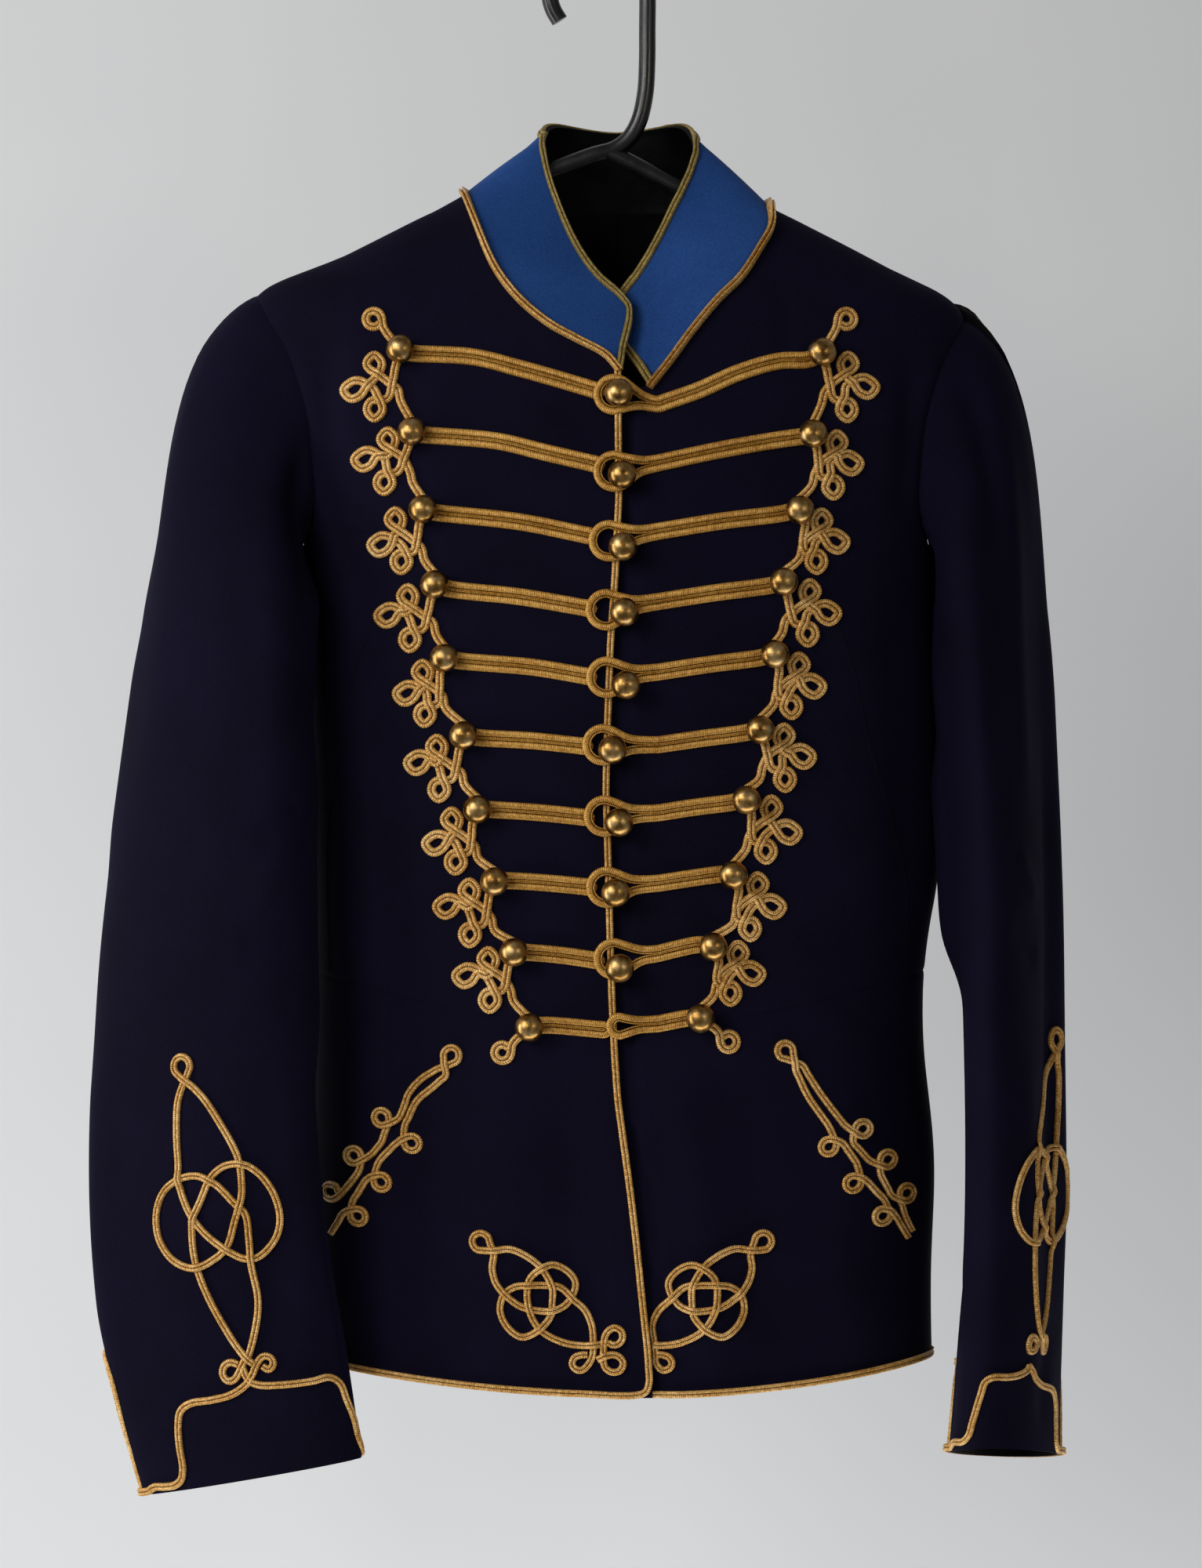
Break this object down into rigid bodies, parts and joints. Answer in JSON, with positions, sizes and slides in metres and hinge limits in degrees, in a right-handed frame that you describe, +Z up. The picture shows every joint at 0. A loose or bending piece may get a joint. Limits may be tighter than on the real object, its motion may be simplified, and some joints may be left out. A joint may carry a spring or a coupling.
{
  "type": "hussar jacket on a hanger",
  "caption": "Waist-length wool hussar jacket on a hanger, closed down the front by braid loops over ball buttons, with a stand collar and long open sleeves.",
  "frame": {"origin": "the point under the crown of the hanger's hook that bears on the rail", "axes": "+Z up, -Y the way the jacket's front faces, +X to the wearer's left"},
  "size_m": [0.5354, 0.1774, 0.86],
  "materials": {
    "blue_black_wool": "fine napped wool",
    "royal_blue_wool": "fine napped wool",
    "gold_braid": "two-ribbed woven cord",
    "edge_braid": "two-ribbed woven cord, dulled",
    "brass": "polished, worn",
    "black_plastic": "moulded gloss"
  },
  "bodies": {
    "root": {"front_right": "blue_black_wool", "front_left": "blue_black_wool", "back_left": "blue_black_wool", "back_right": "blue_black_wool", "skirt_front_right": "blue_black_wool", "skirt_front_left": "blue_black_wool", "skirt_back": "blue_black_wool", "sleeve_left_top": "blue_black_wool", "sleeve_left_under": "blue_black_wool", "sleeve_right_top": "blue_black_wool", "sleeve_right_under": "blue_black_wool", "collar": "royal_blue_wool", "collar_edge_braid": "edge_braid", "collar_seam_braid": "gold_braid", "front_edge_braid": "gold_braid", "hem_braid_right": "gold_braid", "hem_braid_back": "gold_braid", "frog_left_01": "gold_braid", "frog_left_02": "gold_braid", "frog_left_03": "gold_braid", "frog_left_04": "gold_braid", "frog_left_05": "gold_braid", "frog_left_06": "gold_braid", "frog_left_07": "gold_braid", "frog_left_08": "gold_braid", "frog_left_09": "gold_braid", "frog_left_10": "gold_braid", "frog_right_01": "gold_braid", "frog_right_02": "gold_braid", "frog_right_03": "gold_braid", "frog_right_04": "gold_braid", "frog_right_05": "gold_braid", "frog_right_06": "gold_braid", "frog_right_07": "gold_braid", "frog_right_08": "gold_braid", "frog_right_09": "gold_braid", "frog_right_10": "gold_braid", "pocket_braid_left": "gold_braid", "pocket_braid_right": "gold_braid", "hem_knot_left": "gold_braid", "hem_knot_right": "gold_braid", "cuff_knot_left": "gold_braid", "cuff_knot_right": "gold_braid", "cuff_braid_left": "gold_braid", "cuff_braid_right": "gold_braid", "centre_button_1": "brass", "centre_button_2": "brass", "centre_button_3": "brass", "centre_button_4": "brass", "centre_button_5": "brass", "centre_button_6": "brass", "centre_button_7": "brass", "centre_button_8": "brass", "centre_button_9": "brass", "hanger": "black_plastic"}
  },
  "joints": []
}
